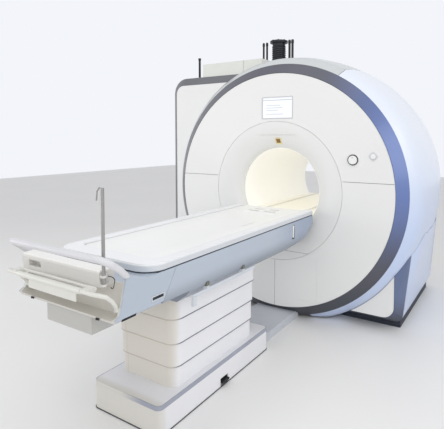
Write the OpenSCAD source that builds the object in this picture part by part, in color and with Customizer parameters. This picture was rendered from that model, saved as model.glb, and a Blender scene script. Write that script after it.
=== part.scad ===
// Magnetic resonance scanner with a fixed patient table on a telescoping pedestal.
// Origin: on the floor under the isocentre. The bore runs along Y and the table stands on the -Y side.

/* [Gantry] */
// Depth of the gantry covers
gantry_depth = 1500; // [1450:10:1600]
// Radius of the flat front face inside the dark ring
face_r = 968; // [940:1:980]
// How much wider the dark ring is at its back edge than the face
ring_w = 82; // [75:1:90]
// How far the dark ring slopes back
ring_depth = 68; // [50:1:80]
// How far the barrel swells out behind the ring
barrel_swell = 97; // [90:1:105]
// How far the drum's circle would run below the floor
floor_cut = 5; // [0:1:10]
// Radius of the seam round the funnel
funnel_r = 575; // [540:1:600]
// Depth of the funnel from the front face to the bore mouth
funnel_depth = 100; // [80:1:130]
// Radius of the patient bore
bore_r = 350; // [345:1:352]
// Wall of the moulded covers
cover_t = 6; // [4:0.5:8]
// Width of the gaps between covers
seam = 3; // [2:0.5:4]
// Height of the seam across the front face above the bore axis
face_seam_rise = 105; // [80:1:130]
// Space between the drum's radius and the magnet's
magnet_gap = 90; // [80:1:100]

/* [Side housings] */
// Distance from the front face to the flat panels of the tower and the foot
panel_setback = 150; // [140:1:170]
// How far the tower stands out beside the drum
tower_out = 212; // [200:1:230]
// How far the tower's top is below the drum's
tower_drop = 25; // [10:1:40]
// How far the foot's flat panel stops short of the drum's side
foot_in = 113; // [100:1:130]
// How far the foot spreads at its lower edge beyond its flat panel
foot_flare = 46; // [30:1:60]
// Height of the bore axis above the seam between the foot and the barrel
foot_seam_drop = 295; // [280:1:310]
// Width of the dark bevel round the tower
bevel_w = 75; // [60:1:85]
// Depth of the tower's bevel
bevel_d = 64; // [50:1:80]
// Depth of the foot's bevel
foot_bevel_d = 100; // [80:1:120]
// Clear height under the side housings
kick_h = 58; // [40:1:65]
// How far the shoulder rises above the barrel
shoulder_rise = 16; // [10:1:30]
// How far the shoulder's left end is from the drum's side
shoulder_in = 80; // [60:1:100]
// Depth of the shoulder from its front to its back
shoulder_d = 880; // [800:10:950]

/* [Table] */
// Height of the bore axis above the table's rim
rim_drop = 130; // [120:1:140]
// Half width of the table
table_hw = 340; // [335:1:345]
// Gap between the table's head end and the front face
head_gap = 12; // [8:1:20]
// Distance from the front face to the foot end of the rim
foot_end = 1830; // [1800:5:1860]
// How far the covers reach beyond the rim at the foot end
end_reach = 200; // [180:5:220]
// Distance from the front face to the foot end of the sliding top
top_end = 1722; // [1700:1:1760]
// Half width of the sliding top
top_hw = 272; // [260:1:280]
// Thickness of the sliding top
top_t = 26; // [22:1:28]
// Height of the rim that holds the sliding top
rim_t = 35; // [33:1:38]
// Height of the dark line under the rim
line_t = 7; // [5:0.5:9]
// Height of the table's side covers below the dark line
side_h = 150; // [140:1:160]
// Height of the tapered belly under the side covers
belly_h = 75; // [60:1:90]
// Half width of the belly's floor
belly_hw = 252; // [245:1:260]

/* [Pedestal] */
// Half width of the plinth
plinth_hw = 243; // [240:1:250]
// Height of the plinth
plinth_h = 155; // [150:1:160]
// Distance from the front face to the plinth's foot end
plinth_y0 = 1674; // [1660:1:1690]
// Distance from the front face to the plinth's head end
plinth_y1 = 560; // [540:1:580]
// Half width of the lowest sleeve
sleeve_hw = 202; // [195:1:205]
// How much wider each sleeve is than the one below
sleeve_step = 7; // [7:0.5:8]
// Distance from the front face to the lowest sleeve's foot end
sleeve_y0 = 1514; // [1500:1:1525]
// Distance from the front face to the lowest sleeve's head end
sleeve_y1 = 701; // [690:1:720]
// Wall of a sleeve
sleeve_t = 3; // [2.5:0.5:3.5]
// Outer radius of the fixed tubes of the lift columns
column_r = 75; // [70:1:80]

/* [Controls and fittings] */
// Radius of the jog knob
knob_r = 33; // [28:1:36]
// Distance of the jog knob from the face's right side
knob_in = 314; // [300:1:330]
// Height of the jog knob above the bore axis
knob_rise = 273; // [260:1:290]
// Radius of the push button
button_r = 20; // [16:1:24]
// Distance of the push button from the face's right side
button_in = 163; // [150:1:180]
// Height of the push button above the bore axis
button_rise = 302; // [290:1:320]
// Width of the display
display_w = 288; // [260:1:300]
// Height of the display
display_h = 180; // [160:1:190]
// Height of the display's middle above the seam round the funnel
display_rise = 110; // [100:1:120]
// Outer radius of the foot bumper tube
bumper_r = 15; // [13:1:18]
// Height of the bumper above the rim
bumper_rise = 87; // [75:1:95]
// Outer radius of the transport handle tube
handle_r = 9; // [7:0.5:12]
// Outer radius of the drip pole
pole_r = 7.5; // [7:0.5:10]
// Length of the drip pole
pole_len = 392; // [380:1:450]
// Inner radius of the quench pipe
quench_r = 58; // [50:1:60]
// How far the pipes rise above the shoulder
pipe_rise = 217; // [200:1:240]

/* [Hidden] */
$fn = 72;
fit = 0.3;

// Places derived from the sizes above
iso_depth = gantry_depth / 2;
rear_y = gantry_depth;
drum_r = face_r + ring_w;
barrel_r = drum_r + barrel_swell;
axis_h = drum_r - floor_cut;
face_seam_h = axis_h + face_seam_rise;
mouth_r = bore_r + cover_t;
magnet_r = drum_r - magnet_gap;
magnet_y0 = 140;
magnet_y1 = rear_y - 80;
coil_bore = bore_r + 34;
magnet_bore = coil_bore + 68;
cradle_z = axis_h - magnet_r + 7;
tower_x = drum_r + tower_out;
tower_h = axis_h + drum_r - tower_drop;
foot_x = drum_r - foot_in;
foot_low_x = foot_x + foot_flare;
foot_seam_h = axis_h - foot_seam_drop;
shoulder_h = axis_h + barrel_r + shoulder_rise;
shoulder_x = drum_r - shoulder_in;
pipe_top = shoulder_h + pipe_rise;
rim_h = axis_h - rim_drop;
line_z = rim_h - rim_t;
skirt_z = line_z - line_t;
edge_z = skirt_z - side_h;
belly_z = edge_z - belly_h;
body_end = foot_end + end_reach;
top_z = rim_h - 9;
deck_z = top_z - top_t - 18.4;
runner_x = 192;
runner_w = 16;
beam_z = edge_z - 23;
sleeve_r = 56;
// Sleeve starts and lengths, as shares of the height between the plinth and the belly
lift_h = belly_z - plinth_h;
sleeve_z = [for (share = [0, 112, 240, 375]) plinth_h + share / 493 * lift_h];
sleeve_len = concat([for (share = [135, 160, 165]) share / 493 * lift_h], [beam_z - sleeve_z[3]]);
pedestal_end = -sleeve_y0 - 3 * sleeve_step;
column_y = [-1370, -860];
column_foot = 30;
column_h = beam_z - column_foot;
column_z = [for (share = [0, 170, 380]) column_foot + share / 670 * column_h];
column_len = [for (share = [280, 320, 290]) share / 670 * column_h];
column_out = [column_r, column_r - 9.5, column_r - 19];
knob_at = [face_r - knob_in, axis_h + knob_rise];
button_at = [face_r - button_in, axis_h + button_rise];
display_x = 14;
display_z = funnel_r + display_rise;
pipe_y = 650;
quench_x = -306;
quench_t = 4;
helium_x = [-476, -438];
return_x = [-192, -160];
neck_z = axis_h + sqrt(pow(magnet_r, 2) - pow(quench_x, 2));
pin_at = [-body_end + 40, edge_z + 45];
bar_at = [-body_end - 70, edge_z + 141];
bumper_y = -body_end - 54;
bumper_z = rim_h + bumper_rise;
pole_at = [table_hw - 64, -body_end];

// Barrel behind the ring: distance from the ring's back edge, and share of the swell
barrel_knots = [[0, 0], [82, 0.62], [212, 0.845], [432, 1], [682, 1], [932, 0.76], [1182, 0.39], [1432, 0]];
barrel_pts = [for (k = barrel_knots) [drum_r + barrel_swell * k[1], ring_depth + k[0] * (rear_y - ring_depth) / 1432]];
last = len(barrel_pts) - 1;
function barrel_at(y) = lookup(y, [for (p = barrel_pts) [p[1], p[0]]]);

module about_bore() { translate([0, 0, axis_h]) rotate([-90, 0, 0]) children(); }
module along_y(y0, y1) { translate([0, y1, 0]) rotate([90, 0, 0]) linear_extrude(y1 - y0) children(); }
module along_x(x0, x1) { translate([x0, 0, 0]) rotate([90, 0, 90]) linear_extrude(x1 - x0) children(); }
module upright(z0, z1) { translate([0, 0, z0]) linear_extrude(z1 - z0) children(); }
module revolve(points) { about_bore() rotate_extrude($fn = 180) polygon(points); }
module tube_y(r_out, r_in, y0, y1) {
    revolve([[r_in, y0], [r_out, y0], [r_out, y1], [r_in, y1]]);
}
module placed() { translate([0, -iso_depth, 0]) children(); }
module block(a, b) { translate(a) cube(b - a); }
// A rectangle with round corners, from one corner to the other
module rounded(a, b, r) {
    translate([a[0] + r, a[1]]) square([b[0] - a[0] - 2 * r, b[1] - a[1]]);
    translate([a[0], a[1] + r]) square([b[0] - a[0], b[1] - a[1] - 2 * r]);
    for (x = [a[0] + r, b[0] - r], y = [a[1] + r, b[1] - r]) translate([x, y]) circle(r);
}

// Steel frame that carries the magnet. Its cross beams stand on the floor.
module base_frame() color("dimgray") {
    for (x = [-430, 300]) block([x, 180, cradle_z - 80], [x + 130, rear_y - 120, cradle_z]);
    for (y = [240, iso_depth - 60, rear_y - 300]) block([-430, y, 0], [430, y + 120, cradle_z - 32]);
}

// Cryostat of the magnet, with dished ends, saddle feet and the neck of its service turret
module magnet_vessel() color("silver") {
    revolve([[magnet_bore, magnet_y0], [magnet_r - 190, magnet_y0], [magnet_r - 60, magnet_y0 + 30],
        [magnet_r, magnet_y0 + 100], [magnet_r, magnet_y1 - 100], [magnet_r - 60, magnet_y1 - 30],
        [magnet_r - 190, magnet_y1], [magnet_bore, magnet_y1]]);
    for (y = [300, magnet_y1 - 320]) along_y(y, y + 120)
        polygon([[-430, cradle_z], [430, cradle_z], [560, cradle_z + 198], [-560, cradle_z + 198]]);
    translate([quench_x, pipe_y, neck_z - 120]) cylinder(r = 100, h = 180);
}

// Gradient coil inside the magnet's bore
module gradient_coil() color("peru") tube_y(magnet_bore, coil_bore, magnet_y0 + 60, magnet_y1 - 60);

// Transmit coil: end rings and rungs on a former
module body_coil() color("darkkhaki") {
    former = bore_r + 16;
    tube_y(former + 8, former, 330, rear_y - 330);
    for (y = [400, rear_y - 440]) tube_y(former + 13, former + 7, y, y + 40);
    for (a = [0:22.5:337.5]) about_bore() rotate([0, 0, a])
        translate([former + 7, -12, 439]) cube([5.5, 24, rear_y - 878]);
}

// Liner of the patient bore, with the ribs it is carried by
module bore_liner() color("ivory") {
    tube_y(mouth_r, bore_r, funnel_depth + 0.5, rear_y - funnel_depth - 0.5);
    for (y = [420, iso_depth, rear_y - 440]) tube_y(bore_r + 16, mouth_r - 1, y, y + 20);
    for (y = [magnet_y0 + 62, magnet_y1 - 82]) tube_y(coil_bore, mouth_r - 1, y, y + 20);
}

// Bridge in the bore that takes over the sliding top, a plate on two ribs
bridge_hw = sqrt(pow(bore_r, 2) - pow(axis_h - deck_z + 16, 2)) - 1;
bridge_y0 = 6;
bridge_y1 = rear_y - 110;
module bore_bridge() color("antiquewhite") {
    block([-bridge_hw, bridge_y0, deck_z - 16], [bridge_hw, bridge_y1, deck_z]);
    for (x = [-150, 150]) block([x - 12, funnel_depth + 60, axis_h - sqrt(pow(bore_r, 2) - 162 * 162) + 0.2],
        [x + 12, bridge_y1 - 40, deck_z - 15]);
}
// Glides on the bridge that keep the runners of the sliding top in line, from between them
module bridge_glides() color("white") for (x = [2 - runner_x, runner_x - 14])
    block([x, bridge_y0, deck_z], [x + 12, bridge_y1, deck_z + 10]);

// Flared cover between a face and the bore mouth
function flare_at(a) = [funnel_r - (funnel_r - mouth_r) * sin(a), funnel_depth * (1 - cos(a))];
flare_n = 15;
module flare_shell(y0, dir) {
    front = [for (i = [0:flare_n]) let (p = flare_at(90 * i / flare_n))
        [p[0] - (i == 0 ? seam / 2 : 0), y0 + dir * p[1]]];
    back = [for (i = [flare_n:-1:0]) let (a = 90 * i / flare_n, p = flare_at(a))
        [p[0] + cover_t * sin(a) - (i == 0 ? seam / 2 : 0), y0 + dir * (p[1] + cover_t * cos(a))]];
    revolve(concat(front, back));
    // flange that the face cover rests on
    flange = [[-12, 4], [-seam / 2, 4], [-seam / 2, cover_t + fit], [14, cover_t + fit],
        [14, cover_t + 4], [-12, cover_t + 4]];
    revolve([for (p = flange) [funnel_r + p[0], y0 + dir * p[1]]]);
}
// The laser window lies in the flare above the bore
window_a = 48;
window_at = flare_at(window_a);
module on_window() translate([display_x, window_at[1], axis_h + window_at[0]]) rotate([27, 0, 0]) children();
// A layer under the flare's surface, from one depth to another
module flare_layer(d0, d1) revolve([for (d = [d0, d1], i = [0:flare_n])
    let (a = 90 * (d == d0 ? i : flare_n - i) / flare_n, p = flare_at(a)) [p[0] + d * sin(a), p[1] + d * cos(a)]]);
groove_z = axis_h + funnel_r - 115;
module front_funnel() color("whitesmoke") difference() {
    flare_shell(0, 1);
    on_window() along_y(-60, 60) rounded([-29.5, -30.5], [29.5, 30.5], 12.5);
    // straight groove above the window
    intersection() {
        flare_layer(-2, cover_t - 2);
        block([display_x - 165, -10, groove_z], [display_x + 165, funnel_depth, groove_z + 3.5]);
    }
}
module rear_funnel() color("whitesmoke") flare_shell(rear_y, -1);

// Flat cover of the face, cut along its seams
module face_ring() {
    revolve([[funnel_r + seam / 2, 0], [face_r - 2, 0], [face_r - 2, cover_t], [face_r - 8, cover_t + 6],
        [face_r - 8, cover_t + 30], [face_r - 14, cover_t + 30], [face_r - 14, cover_t], [funnel_r + seam / 2, cover_t]]);
}
module face_upper() color("whitesmoke") difference() {
    intersection() {
        face_ring();
        block([-drum_r, -10, face_seam_h + seam / 2], [drum_r, 100, axis_h + drum_r]);
    }
    along_y(-5, 60) translate([display_x, axis_h + display_z])
        rounded([-display_w / 2, -display_h / 2], [display_w / 2, display_h / 2], 8);
    translate([knob_at[0], -5, knob_at[1]]) rotate([-90, 0, 0]) cylinder(r = knob_r + 8, h = 60);
    translate([button_at[0], -5, button_at[1]]) rotate([-90, 0, 0]) cylinder(r = button_r + 1, h = 60);
}
module face_lower(x0, x1) intersection() {
    face_ring();
    block([x0, -10, 18], [x1, 100, face_seam_h - seam / 2]);
}
module face_lower_left() color("whitesmoke") face_lower(-drum_r, -seam / 2);
module face_lower_right() color("whitesmoke") difference() {
    face_lower(seam / 2, drum_r);
    // hatch outline and joint line low on the face
    hatch_x = [188, 374];
    hatch_z = [168, 520];
    block([hatch_x[0], -1, hatch_z[0]], [hatch_x[1], 1, hatch_z[0] + 1.5]);
    block([hatch_x[1], -1, hatch_z[0]], [hatch_x[1] + 1.5, 1, hatch_z[1]]);
}

// Sloping dark ring round the face
module trim_ring() color("slategray") difference() {
    revolve([[face_r, 0], [face_r + 3, 0], [drum_r, ring_depth], [drum_r - 6, ring_depth], [face_r + 2, 18],
        [face_r - 7.7, 18], [face_r - 7.7, cover_t + 6 + fit], [face_r, cover_t + 6 + fit]]);
    block([-drum_r, -20, -50], [drum_r, 200, 15]);
}

// Outer barrel, an arched shell in three parts
module barrel_shell() revolve(concat([for (i = [0:last]) barrel_pts[i]],
    [for (i = [last:-1:0]) [barrel_pts[i][0] - cover_t, barrel_pts[i][1] + (i == 0 ? 4 : 0)]]));
module wedge(a0, a1) about_bore() linear_extrude(2 * gantry_depth, center = true)
    polygon(concat([[0, 0]], [for (i = [0:8]) let (a = a0 + (a1 - a0) * i / 8) 1.5 * barrel_r * [cos(a), -sin(a)]]));
module open_underside() {
    block([-barrel_r, -50, -200], [barrel_r, rear_y + 50, 15]);
    block([-432, 170, 0], [432, rear_y - 100, cradle_z + 18]);
}
module barrel_cover_top() color("aliceblue") difference() {
    intersection() {
        barrel_shell();
        wedge(61.2, 135);
    }
    // way through for the pipes, under the turret cover
    block([-491, pipe_y - 70, neck_z - 100], [-140, pipe_y + 110, shoulder_h]);
}
module barrel_cover_right() color("aliceblue") difference() {
    intersection() {
        barrel_shell();
        wedge(-74, 61);
    }
    open_underside();
    block([250, panel_setback + foot_bevel_d + 120, -50], [barrel_r, rear_y + 50, foot_seam_h - 130]);
}
module barrel_cover_left() color("aliceblue") difference() {
    intersection() {
        barrel_shell();
        wedge(135.2, 254);
    }
    open_underside();
    block([-barrel_r, panel_setback + 300, -50], [-250, rear_y + 50, foot_seam_h - 130]);
}

// Cover at the back of the gantry
module rear_cover() color("whitesmoke") difference() {
    r = barrel_pts[last][0] - cover_t;
    revolve([[funnel_r + seam / 2, rear_y - cover_t], [r - 6, rear_y - cover_t], [r - 6, rear_y - 40],
        [r, rear_y - 40], [r, rear_y], [funnel_r + seam / 2, rear_y]]);
    block([-drum_r, rear_y - 100, -50], [drum_r, rear_y + 50, 15]);
    for (a = [20:40:340]) about_bore() rotate([0, 0, a]) translate([r - 90, 0, rear_y - 20])
        cylinder(r = 5, h = 30, $fn = 24);
}

// Outlines of the side housings seen from the front
module barrel_hollow(clear) revolve(concat([[0, 0]], [for (p = barrel_pts) [p[0] + clear, p[1]]],
    [[barrel_pts[last][0] + clear, rear_y + 60], [0, rear_y + 60]]));
module barrel_bite() tube_y(barrel_at(panel_setback + cover_t) + 2, 0.01, 0, 300);
module tower_outline(inset) rounded([-tower_x + inset, kick_h + inset], [-200, tower_h - inset], 150 - inset * 0.85);

// Tower on the left, a shell round the barrel
tower_y0 = panel_setback + bevel_d;
module tower_cover() color("whitesmoke") difference() {
    along_y(tower_y0 + seam, rear_y - 40) tower_outline(0);
    along_y(tower_y0 - 1, rear_y - 40 - cover_t) tower_outline(cover_t);
    barrel_hollow(0.5);
    block([-440, 0, -50], [400, rear_y + 100, axis_h]);
    block([-330, 0, -50], [400, rear_y + 100, shoulder_h]);
}
module tower_panel() color("whitesmoke") difference() {
    along_y(panel_setback, panel_setback + cover_t) tower_outline(bevel_w + 2);
    barrel_bite();
    block([-330, 0, -50], [400, rear_y, shoulder_h]);
}
module tower_trim() color("gray") difference() {
    hull() {
        along_y(tower_y0 - 1, tower_y0) tower_outline(0);
        along_y(panel_setback, panel_setback + 1) tower_outline(bevel_w);
    }
    hull() {
        along_y(tower_y0, tower_y0 + 1) tower_outline(cover_t);
        along_y(panel_setback - 1, panel_setback) tower_outline(bevel_w + cover_t * 0.4);
    }
    barrel_hollow(0.5);
    block([-330, 0, -50], [400, rear_y, shoulder_h]);
}

// Low foot on the right. Its side runs from the seam on the barrel straight down to the kick frame.
foot_y0 = panel_setback + foot_bevel_d;
foot_rows = [for (row = [[foot_y0, 95], [410, 45], [620, 32], [1000, 54], [1300, 91], [1490, 129]])
    [row[0] == foot_y0 ? foot_y0 : row[0] * rear_y / 1500, barrel_r - row[1]]];
module foot_section(x_top, inset) hull() {
    translate([200, kick_h + inset]) square(1);
    translate([200, foot_seam_h + 30]) square(1);
    translate([foot_low_x - 62, kick_h + 60]) circle(60 - inset, $fn = 40);
    translate([x_top - inset - 1, foot_seam_h]) square([1, 30]);
}
module foot_row(i, inset, dy) translate([0, foot_rows[i][0] + dy, 0]) rotate([90, 0, 0]) linear_extrude(1)
    foot_section(foot_rows[i][1], inset);
module foot_solid(inset, dy) for (i = [0:4]) hull() {
    foot_row(i, inset, i == 0 ? 1 : 0);
    foot_row(i + 1, inset, i == 4 ? dy : 0);
}
module foot_face(inset) rounded([200, kick_h + 49 + inset], [foot_x - inset, foot_seam_h + 150], 90 - inset);
module foot_cover() color("aliceblue") difference() {
    foot_solid(0, 0);
    foot_solid(5, -5);
    block([0, foot_y0 - 10, 0], [barrel_r, foot_y0 + seam, axis_h]);
    barrel_hollow(0.5);
    block([0, 0, -50], [440, rear_y + 100, axis_h]);
    block([0, 0, foot_seam_h], [barrel_r, rear_y + 100, axis_h]);
}
module foot_panel() color("whitesmoke") difference() {
    along_y(panel_setback, panel_setback + cover_t) foot_face(3.6);
    barrel_bite();
    block([0, 0, -50], [400, rear_y, barrel_r]);
}
module foot_trim() color("slategray") difference() {
    hull() {
        foot_row(0, 0, 0);
        along_y(panel_setback, panel_setback + 1) foot_face(0, $fn = 40);
    }
    hull() {
        foot_row(0, 5, 1);
        along_y(panel_setback - 1, panel_setback) foot_face(3, $fn = 40);
    }
    barrel_hollow(0.5);
    block([0, 0, -50], [440, rear_y + 100, axis_h]);
    // its tip runs out on the barrel and is cut square
    block([0, 0, foot_seam_h - 158], [barrel_r, rear_y, axis_h]);
}

// Set-back frame that both side housings stand on
module kick_frame() color("darkslategray") difference() {
    union() {
        block([460, foot_y0 + 40, 0], [foot_low_x - 28, rear_y - 90, kick_h]);
        block([-tower_x + 28, tower_y0 + 40, 0], [-460, rear_y - 90, kick_h]);
    }
    block([510, 400, -1], [foot_low_x - 90, rear_y - 150, kick_h + 1]);
    block([-tower_x + 90, 400, -1], [-510, rear_y - 150, kick_h + 1]);
    barrel_hollow(0.5);
}

// Shoulder above the tower and cover of the service turret
roof_split = -498;
roof_y0 = 300;
module roof_shape(x0, x1, inset) {
    roof_y1 = roof_y0 + shoulder_d - inset;
    block([x0 + inset, roof_y0 + inset, tower_h - 370], [min(x1, -300) - inset, roof_y1, shoulder_h - inset]);
    if (x1 > -300) block([-400, pipe_y - 110 + inset, tower_h - 370], [x1 - inset, roof_y1, shoulder_h - 6 - inset]);
}
module roof_cover(x0, x1) difference() {
    roof_shape(x0, x1, 0);
    translate([0, 0, -0.01]) roof_shape(x0, x1, cover_t);
    barrel_hollow(0.5);
    block([-tower_x - 20, 0, tower_h - 400], [-100, rear_y, tower_h + 0.4]);
}
module shoulder_cover() color("gainsboro") roof_cover(-shoulder_x, roof_split);
module turret_cover() color("gainsboro") difference() {
    roof_cover(roof_split + seam, -110);
    translate([quench_x, pipe_y, tower_h]) cylinder(r = quench_r + quench_t + 10, h = shoulder_h);
    for (x = concat(helium_x, return_x)) translate([x, pipe_y, tower_h]) cylinder(r = 13.5, h = shoulder_h);
}

// Screen above the funnel
module display_housing() color("lightgray") difference() {
    along_y(-2, 36) translate([display_x, axis_h + display_z])
        rounded([-display_w / 2 + 1, -display_h / 2 + 1], [display_w / 2 - 1, display_h / 2 - 1], 7);
    along_y(-3, 1) translate([display_x, axis_h + display_z])
        rounded([-display_w / 2 + 7, -display_h / 2 + 7], [display_w / 2 - 7, display_h / 2 - 7], 4);
}
module display_glass() color("white") along_y(-1.5, 1) translate([display_x, axis_h + display_z])
    rounded([-display_w / 2 + 7.3, -display_h / 2 + 7.3], [display_w / 2 - 7.3, display_h / 2 - 7.3], 4);

// Jog knob in its bezel, and the push button
module knob_bezel() color("dimgray") translate([knob_at[0], -4, knob_at[1]]) rotate([-90, 0, 0])
    difference() {
        union() {
            cylinder(r = knob_r + 8, h = 16);
            translate([0, 0, 15]) cylinder(r = knob_r - 8, h = 20);
        }
        translate([0, 0, -1]) cylinder(r = knob_r + 1, h = 6);
        translate([0, 0, -1]) cylinder(r = 8 + fit, h = 28);
    }
module jog_knob() color("white") translate([knob_at[0], 0, knob_at[1]]) rotate([90, 0, 0]) {
    difference() {
        union() {
            cylinder(r = knob_r, h = 12);
            translate([0, 0, 11]) cylinder(r1 = knob_r, r2 = knob_r - 5, h = 8);
        }
        for (a = [0:30:330]) rotate([0, 0, a]) translate([knob_r + 1, 0, 3]) cylinder(r = 3, h = 30, $fn = 24);
    }
    translate([0, 0, -18]) cylinder(r = 8, h = 19);
}
module push_button() color("whitesmoke") translate([button_at[0], 0, button_at[1]]) rotate([90, 0, 0]) {
    translate([0, 0, -14]) cylinder(r = button_r, h = 20);
    translate([0, 0, 5.5]) cylinder(r1 = button_r, r2 = button_r - 3, h = 3);
}

// Tinted window of the positioning laser
module laser_window() color("goldenrod") on_window() along_y(-3, 14) rounded([-29, -30], [29, 30], 12);

// Pipes that rise from the service turret
module quench_pipe() color("dimgray") translate([quench_x, pipe_y, 0]) difference() {
    union() {
        translate([0, 0, neck_z + 60]) cylinder(r = quench_r + quench_t, h = pipe_top - neck_z - 60 - 20);
        for (i = [0:6]) translate([0, 0, shoulder_h + 40 + i * 20]) rotate_extrude()
            translate([quench_r + quench_t - 1, 0]) circle(r = 6.5, $fn = 24);
    }
    translate([0, 0, neck_z]) cylinder(r = quench_r, h = pipe_top);
}
module quench_flange() color("dimgray") translate([quench_x, pipe_y, pipe_top - 20]) difference() {
    cylinder(r = quench_r + 28, h = 20);
    translate([0, 0, -1]) cylinder(r = quench_r, h = 30);
    for (a = [22.5:45:360]) rotate([0, 0, a]) translate([quench_r + 18, 0, -1]) cylinder(r = 4.5, h = 30, $fn = 24);
}
module riser(x, r, z0) translate([x, pipe_y, z0]) difference() {
    union() {
        cylinder(r = r, h = pipe_top - z0);
        translate([0, 0, pipe_top - z0 - 34]) cylinder(r = r + 2.5, h = 26);
        translate([0, 0, shoulder_h - z0 + 10]) cylinder(r = r + 2.5, h = 16);
    }
    translate([0, 0, 20]) cylinder(r = r - 3, h = pipe_top);
}
function vessel_top(x, r) = axis_h + sqrt(pow(magnet_r, 2) - pow(abs(x) - r, 2));
module service_lines() color("black") {
    for (x = helium_x) riser(x, 9.5, vessel_top(x, 9.5));
    for (x = return_x) riser(x, 11, vessel_top(x, 11));
    // conduit that feeds the tower from above
    translate([-drum_r, 350, tower_h]) {
        cylinder(r = 11, h = 215);
        cylinder(r = 18, h = 12);
        translate([0, 0, 195]) cylinder(r = 14, h = 20);
    }
}

// Duct on the floor between the plinth and the drum
module floor_duct() color("lightgray") difference() {
    along_y(-plinth_y1, 60) polygon([[-190, 0], [190, 0], [190, 38], [176, 50], [-176, 50], [-190, 38]]);
    along_y(-plinth_y1 - 1, 61) translate([-182, -1]) square([364, 45]);
    revolve([[0.01, -0.4], [face_r + 3.4, -0.4], [drum_r + 0.5, ring_depth - 0.2], [drum_r + 0.5, 120], [0.01, 120]]);
}

// Steel base of the table with its anchor holes
module table_base() color("dimgray") difference() {
    block([-plinth_hw + 8 + fit, -plinth_y0 + 40, 0], [plinth_hw - 8 - fit, -plinth_y1 - 40, 30]);
    block([plinth_hw - 32, -1150, -1], [plinth_hw, -1060, 31]);
    for (x = [-180, 180], y = [-1590, -1115, -640]) translate([x, y, -1]) cylinder(r = 9, h = 40);
}

// Plinth under the pedestal
module plinth_outline(inset)
    rounded([-plinth_hw + inset, -plinth_y0 + inset], [plinth_hw - inset, -plinth_y1 - inset], 34 - inset);
module plinth() color("gainsboro") difference() {
    upright(0, plinth_h) plinth_outline(0);
    upright(-1, plinth_h - 8) plinth_outline(8);
    // rebate along the upper edge for the trim
    upright(plinth_h - 24, plinth_h + 1) difference() {
        plinth_outline(-2);
        plinth_outline(5);
    }
    block([plinth_hw - 30, -1145, -1], [plinth_hw + 5, -1065, 52]);
    for (y = column_y) translate([0, y, plinth_h - 20]) cylinder(r = column_r + fit, h = 40);
    block([-60, -plinth_y1 - 20, -1], [60, -plinth_y1 + 20, 44]);
}
module plinth_trim() color("slategray") upright(plinth_h - 24, plinth_h - fit) difference() {
    plinth_outline(0);
    plinth_outline(5);
}

// Foot pedal in a notch of the plinth
module foot_pedal() color("black") difference() {
    union() {
        along_x(plinth_hw - 28, plinth_hw + 14) rounded([-1140, 22], [-1070, 36], 6);
        translate([plinth_hw - 26.5, -1143, 27]) rotate([-90, 0, 0]) cylinder(r = 5, h = 76);
    }
    for (y = [-1130:10:-1080]) translate([plinth_hw - 6, y, 36]) rotate([0, 90, 0]) cylinder(r = 1.6, h = 60, $fn = 24);
}

// Telescoping sleeves round the lift columns, each a rounded rectangular tube
module sleeve_outline(i, inset) rounded([-sleeve_hw - i * sleeve_step + inset, -sleeve_y0 - i * sleeve_step + inset],
    [sleeve_hw + i * sleeve_step - inset, -sleeve_y1 + i * sleeve_step - inset], sleeve_r + i * 4 - inset);
module sleeve(i) {
    upright(sleeve_z[i], sleeve_z[i] + sleeve_len[i]) difference() {
        sleeve_outline(i, 0);
        sleeve_outline(i, sleeve_t);
    }
    // glide strip along the lower edge, against the sleeve inside
    if (i > 0) upright(sleeve_z[i] + 4, sleeve_z[i] + 12) difference() {
        sleeve_outline(i, sleeve_t - 0.5);
        sleeve_outline(i, sleeve_step - fit);
    }
}
module sleeve_1() color("white") sleeve(0);
module sleeve_2() color("white") sleeve(1);
module sleeve_3() color("white") sleeve(2);
module sleeve_4() color("white") sleeve(3);

// Two lift columns: fixed tubes, middle stages and rams
module stages(i) for (y = column_y) translate([0, y, column_z[i]]) difference() {
    cylinder(r = column_out[i] - (i > 0 ? fit : 0), h = column_len[i]);
    translate([0, 0, -1]) cylinder(r = column_out[i] - 9.5, h = column_len[i] + 2);
}
module column_tubes() color("silver") stages(0);
module column_stages() color("silver") stages(1);
module column_rams() color("silver") stages(2);

// Welded frame inside the table, with the deck that carries the sliding top
module table_frame() color("lightsteelblue") difference() {
    union() {
        for (x = [-160, 110]) {
            block([x, -body_end + 90, edge_z + cover_t + 1], [x + 50, -1300, deck_z - 9]);
            block([x, pedestal_end - 3, beam_z], [x + 50, -330, deck_z - 9]);
            block([x, -331, skirt_z - 73], [x + 50, -80, deck_z - 9]);
        }
        for (y = column_y) block([-160, y - 110, beam_z], [160, y + 110, beam_z + 16]);
        for (y = [-body_end + 90, -foot_end + 90, -1115, -500])
            block([-160, y, beam_z + 40], [160, y + 40, deck_z - 9]);
        block([-160, -140, skirt_z - 73], [160, -100, deck_z - 9]);
        block([-300, -foot_end + 60, deck_z - 10], [300, -30, deck_z]);
        for (s = [-1, 1], x = [runner_x - 14, runner_x + runner_w + 2])
            block([min(s * x, s * (x + 12)), -foot_end + 90, deck_z - 1], [max(s * x, s * (x + 12)), -30, deck_z + 10]);
        for (y = [-1700, -1115, -500])
            block([-table_hw + cover_t + fit, y, deck_z - 40], [table_hw - cover_t - fit, y + 40, deck_z - 30]);
    }
    for (y = [-1480:160:-300]) translate([0, y, deck_z - 30]) cylinder(r = 50, h = 60);
}

// Section of the table's covers, seen along the table
module skirt_outline(i) {
    half = [[belly_hw, belly_z + i], [table_hw - 24 - i, edge_z - 26 + i * 0.6], [table_hw - 6 - i, edge_z - 6 + i * 0.3],
        [table_hw - i, edge_z + 12], [table_hw - i, skirt_z + i]];
    polygon(concat(half, [for (k = [len(half) - 1:-1:0]) [-half[k][0], half[k][1]]]));
}
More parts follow.
